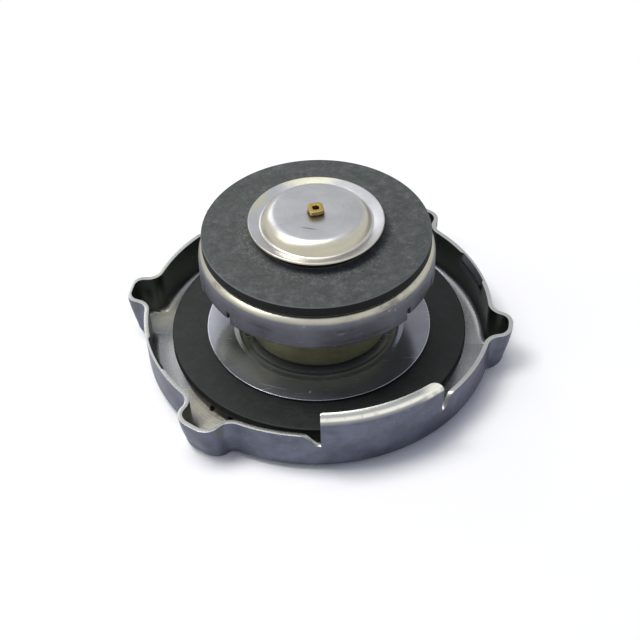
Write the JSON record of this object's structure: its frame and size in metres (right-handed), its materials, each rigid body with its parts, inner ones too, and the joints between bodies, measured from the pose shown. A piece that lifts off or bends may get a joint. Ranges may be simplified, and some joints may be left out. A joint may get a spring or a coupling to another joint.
{
  "type": "radiator cap",
  "caption": "Pressed steel bayonet radiator cap with finger lobes, neck gasket, spring disc, and a long-reach pressure valve with a vacuum valve in its middle.",
  "frame": {"origin": "on the cap's axis, at the height of the flat ring that the crown rests on", "axes": "+Z along the cap's axis from the crown towards the valve end; +X and +Y across it, with a bayonet lug's middle 70 degrees clockwise from +X seen from above"},
  "size_m": [0.0732, 0.0676, 0.0337],
  "materials": {
    "crown_steel": "satin",
    "gasket_rubber": "smooth",
    "disc_steel": "polished",
    "yellow_zinc": "yellow passivated",
    "plain_zinc": "zinc plated",
    "spring_steel": "drawn wire",
    "cup_steel": "pressed, with fine drag marks",
    "seal_rubber": "matte, worn grey",
    "stainless": "bright pressed",
    "brass": "turned"
  },
  "bodies": {
    "crown": {"crown_shell": "crown_steel"},
    "valve_carrier": {"upper_gasket": "gasket_rubber", "spacer_washer": "plain_zinc", "spring_disc": "disc_steel", "bell_housing": "yellow_zinc", "rivet_washer": "plain_zinc", "centre_rivet": "plain_zinc", "main_spring": "spring_steel"},
    "pressure_valve": {"valve_cup": "cup_steel", "valve_seal": "seal_rubber", "stem_guide": "plain_zinc", "vacuum_spring": "spring_steel"},
    "vacuum_valve": {"vacuum_disc": "stainless", "vacuum_stem": "brass", "vacuum_retainer": "plain_zinc"}
  },
  "joints": [
    {"name": "carrier_swivel", "type": "hinge", "parent": "crown", "child": "valve_carrier", "pos_m": [0, 0, 0.005], "axis": [0, 0, 1], "continuous": true},
    {"name": "pressure_valve_slide", "type": "slide", "parent": "valve_carrier", "child": "pressure_valve", "axis": [0, 0, -1], "range_m": [0, 0.0033], "stiffness_N_per_m": 500, "springref_m": -0.002, "deforming": ["main_spring"]},
    {"name": "vacuum_valve_slide", "type": "slide", "parent": "pressure_valve", "child": "vacuum_valve", "axis": [0, 0, 1], "range_m": [0, 0.002], "stiffness_N_per_m": 200, "springref_m": -0.001, "deforming": ["vacuum_spring"]}
  ]
}
